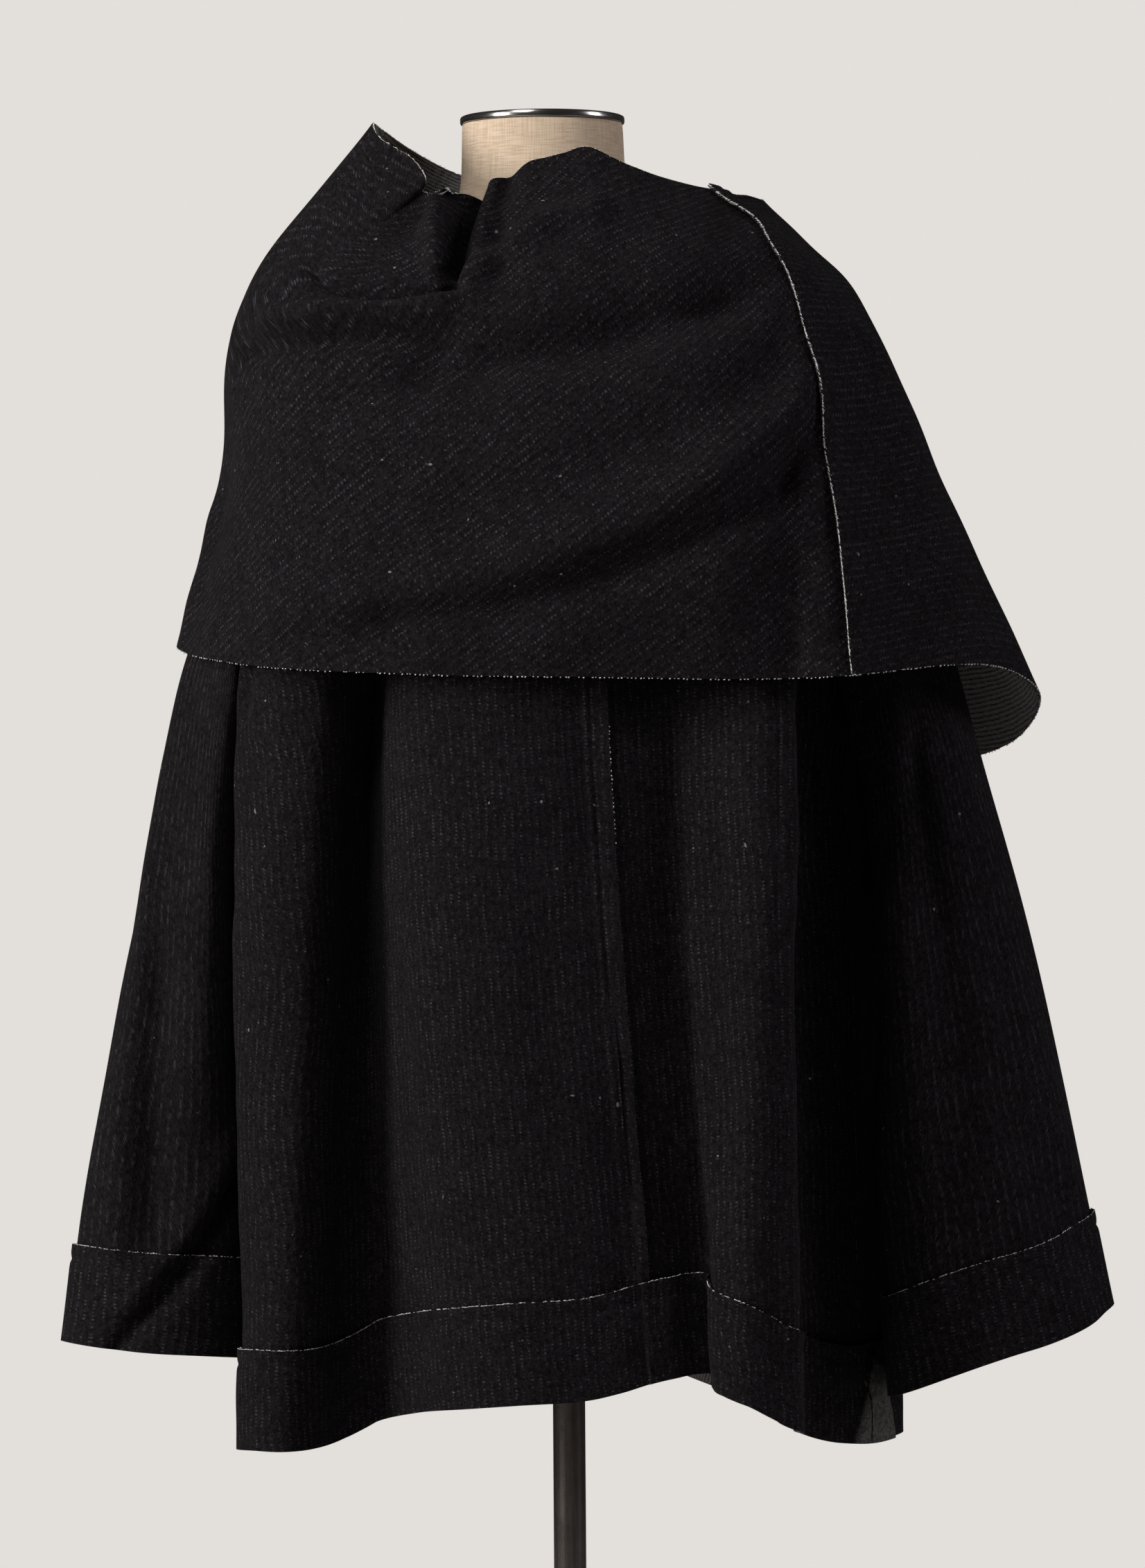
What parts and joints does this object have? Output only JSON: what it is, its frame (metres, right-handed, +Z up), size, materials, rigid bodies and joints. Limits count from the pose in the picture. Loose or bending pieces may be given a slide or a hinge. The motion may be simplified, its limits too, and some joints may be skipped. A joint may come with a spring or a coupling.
{
  "type": "poncho on a dress form",
  "caption": "Wide knitted wool poncho jacket with a draped cape collar, bell sleeves and raw-edged hem and cuff bands, on a limbless dress form with a round stand.",
  "frame": {"origin": "centre of the stand's base, on its underside, under the pole", "axes": "+Z up, -Y the way the wearer faces, +X towards the wearer's left"},
  "size_m": [0.7164, 0.3905, 1.4997],
  "materials": {
    "black_wool": "matt rib knit with raw edges",
    "linen": "matt woven cover",
    "chrome": "polished",
    "dark_steel": "gloss dark coat"
  },
  "bodies": {
    "root": {"back_left": "black_wool", "back_right": "black_wool", "front": "black_wool", "hem_band_back_left": "black_wool", "hem_band_back_right": "black_wool", "hem_band_front": "black_wool", "sleeve_left": "black_wool", "sleeve_right": "black_wool", "cuff_left": "black_wool", "cuff_right": "black_wool", "collar_left": "black_wool", "collar_right": "black_wool", "form_torso": "linen", "neck_cap": "chrome", "stand_pole": "dark_steel", "stand_base": "dark_steel"}
  },
  "joints": []
}
